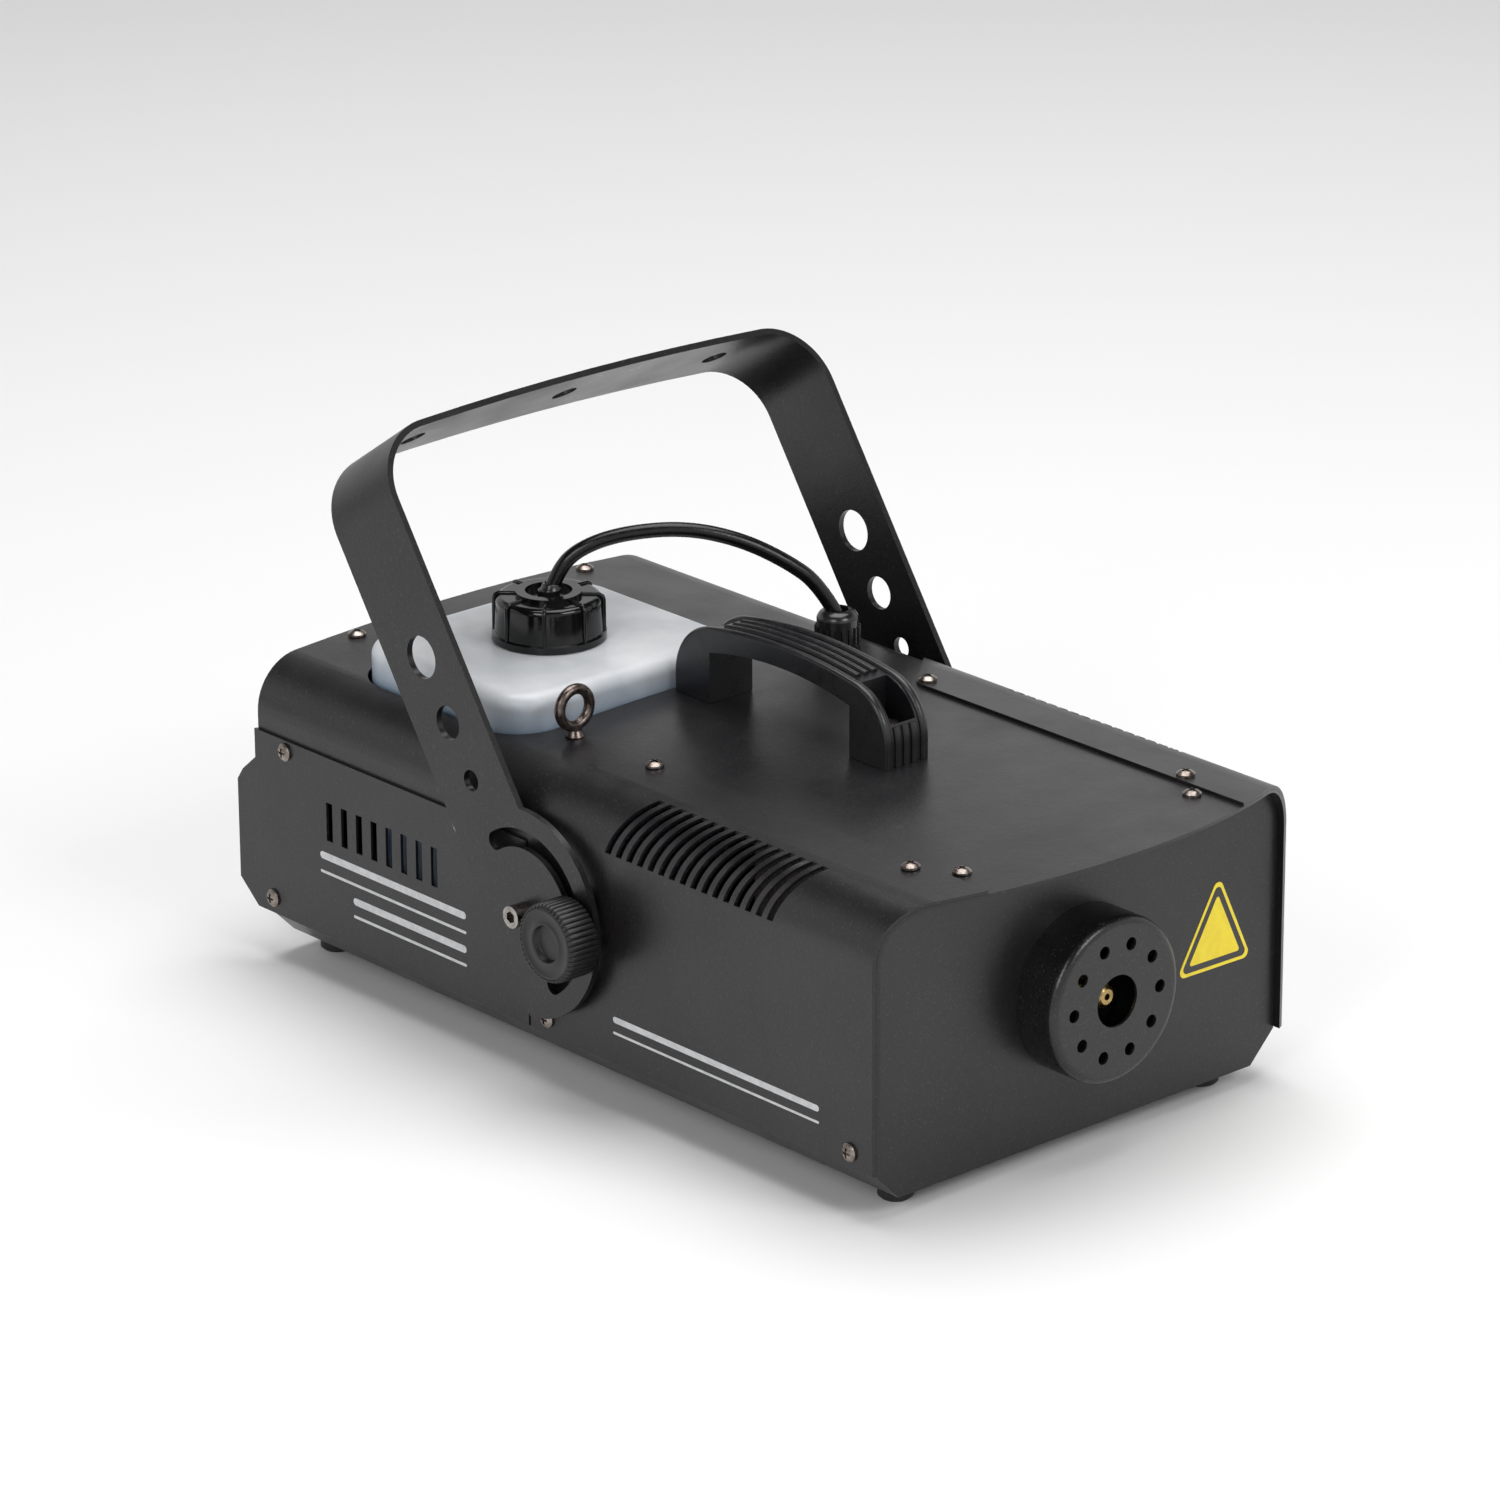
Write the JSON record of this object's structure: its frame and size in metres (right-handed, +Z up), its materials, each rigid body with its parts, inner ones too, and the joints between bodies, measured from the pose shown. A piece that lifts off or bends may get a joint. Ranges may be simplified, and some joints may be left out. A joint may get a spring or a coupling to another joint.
{
  "type": "fog machine",
  "caption": "Low box-shaped fog machine in black sheet metal with a tilting mounting yoke, clamp knobs, a translucent fluid tank under a hose cap, a carry handle and a round nozzle guard.",
  "frame": {"origin": "middle of the outline on the surface it stands on", "axes": "+Z up, the fog leaves towards -Y, +X is the right side seen from the front"},
  "size_m": [0.3008, 0.471, 0.2848],
  "materials": {
    "powder_coat": "satin fine-texture black powder coat",
    "brass": "turned brass",
    "aluminium": "cast aluminium",
    "steel": "zinc plated steel",
    "insulation_cloth": "glass fibre insulation",
    "nickel_fastener": "dark nickel plate",
    "black_plastic": "satin black moulded plastic",
    "gloss_plastic": "gloss black plastic",
    "tank_plastic": "milky translucent polyethylene",
    "hose": "smooth glossy black hose",
    "board": "circuit board and its parts",
    "rubber": "moulded rubber"
  },
  "bodies": {
    "housing": {"board_standoffs": "aluminium", "carry_handle": "black_plastic", "chassis_pan": "powder_coat", "clamp_nuts": "nickel_fastener", "clamp_studs": "nickel_fastener", "clamp_washers": "nickel_fastener", "connector_pins": "brass", "control_board": "board", "eye_bolt": "nickel_fastener", "feed_pipe": "steel", "fluid_hose": "hose", "foot_screws": "nickel_fastener", "front_panel": "powder_coat", "gland_body": "black_plastic", "gland_locknut": "black_plastic", "gland_nut": "black_plastic", "handle_nuts": "nickel_fastener", "handle_screws": "nickel_fastener", "heater_block": "aluminium", "heater_brackets": "steel", "heater_elements": "steel", "heater_insulation": "insulation_cloth", "heater_relay": "black_plastic", "hose_barb": "black_plastic", "left_front_cover": "powder_coat", "left_side_plate": "powder_coat", "main_cover": "powder_coat", "nozzle_guard": "powder_coat", "nozzle_tip": "brass", "pickup_filter": "black_plastic", "pickup_tube": "hose", "pivot_bolts": "nickel_fastener", "power_inlet": "black_plastic", "pump_barrel": "steel", "pump_bracket": "steel", "pump_coil": "black_plastic", "rear_panel": "powder_coat", "remote_socket": "black_plastic", "right_front_cover": "powder_coat", "right_side_plate": "powder_coat", "rubber_feet": "rubber", "side_screws": "nickel_fastener", "small_nuts": "nickel_fastener", "suction_tube": "hose", "switch_frame": "black_plastic", "tank": "tank_plastic", "tank_tray": "steel", "terminal_block": "board", "thermal_fuse": "board", "thermostat": "steel", "top_screws": "nickel_fastener", "transformer": "board", "yoke_spacers": "nickel_fastener"},
    "yoke": {"yoke": "powder_coat"},
    "left_knob": {"left_clamp_knob": "black_plastic"},
    "right_knob": {"right_clamp_knob": "black_plastic"},
    "cap": {"tank_cap": "gloss_plastic"},
    "rocker": {"switch_rocker": "gloss_plastic"},
    "drawer": {"fuse_drawer": "black_plastic"}
  },
  "joints": [
    {"name": "yoke_tilt", "type": "hinge", "parent": "housing", "child": "yoke", "pos_m": [0, 0.0175, 0.083], "axis": [1, 0, 0], "range_deg": [-45, 96]},
    {"name": "left_knob_turn", "type": "hinge", "parent": "housing", "child": "left_knob", "pos_m": [-0.142, -0.0175, 0.083], "axis": [-1, 0, 0], "range_deg": [0, 300]},
    {"name": "right_knob_turn", "type": "hinge", "parent": "housing", "child": "right_knob", "pos_m": [0.142, -0.0175, 0.083], "axis": [1, 0, 0], "range_deg": [0, 300]},
    {"name": "cap_turn", "type": "hinge", "parent": "housing", "child": "cap", "pos_m": [-0.033, 0.1165, 0.175], "axis": [0, 0, 1], "range_deg": [0, 360]},
    {"name": "rocker_press", "type": "hinge", "parent": "housing", "child": "rocker", "pos_m": [0.04, 0.2153, 0.055], "axis": [1, 0, 0], "range_deg": [0, 18]},
    {"name": "drawer_pull", "type": "slide", "parent": "housing", "child": "drawer", "axis": [0, 1, 0], "range_m": [0, 0.012]}
  ]
}
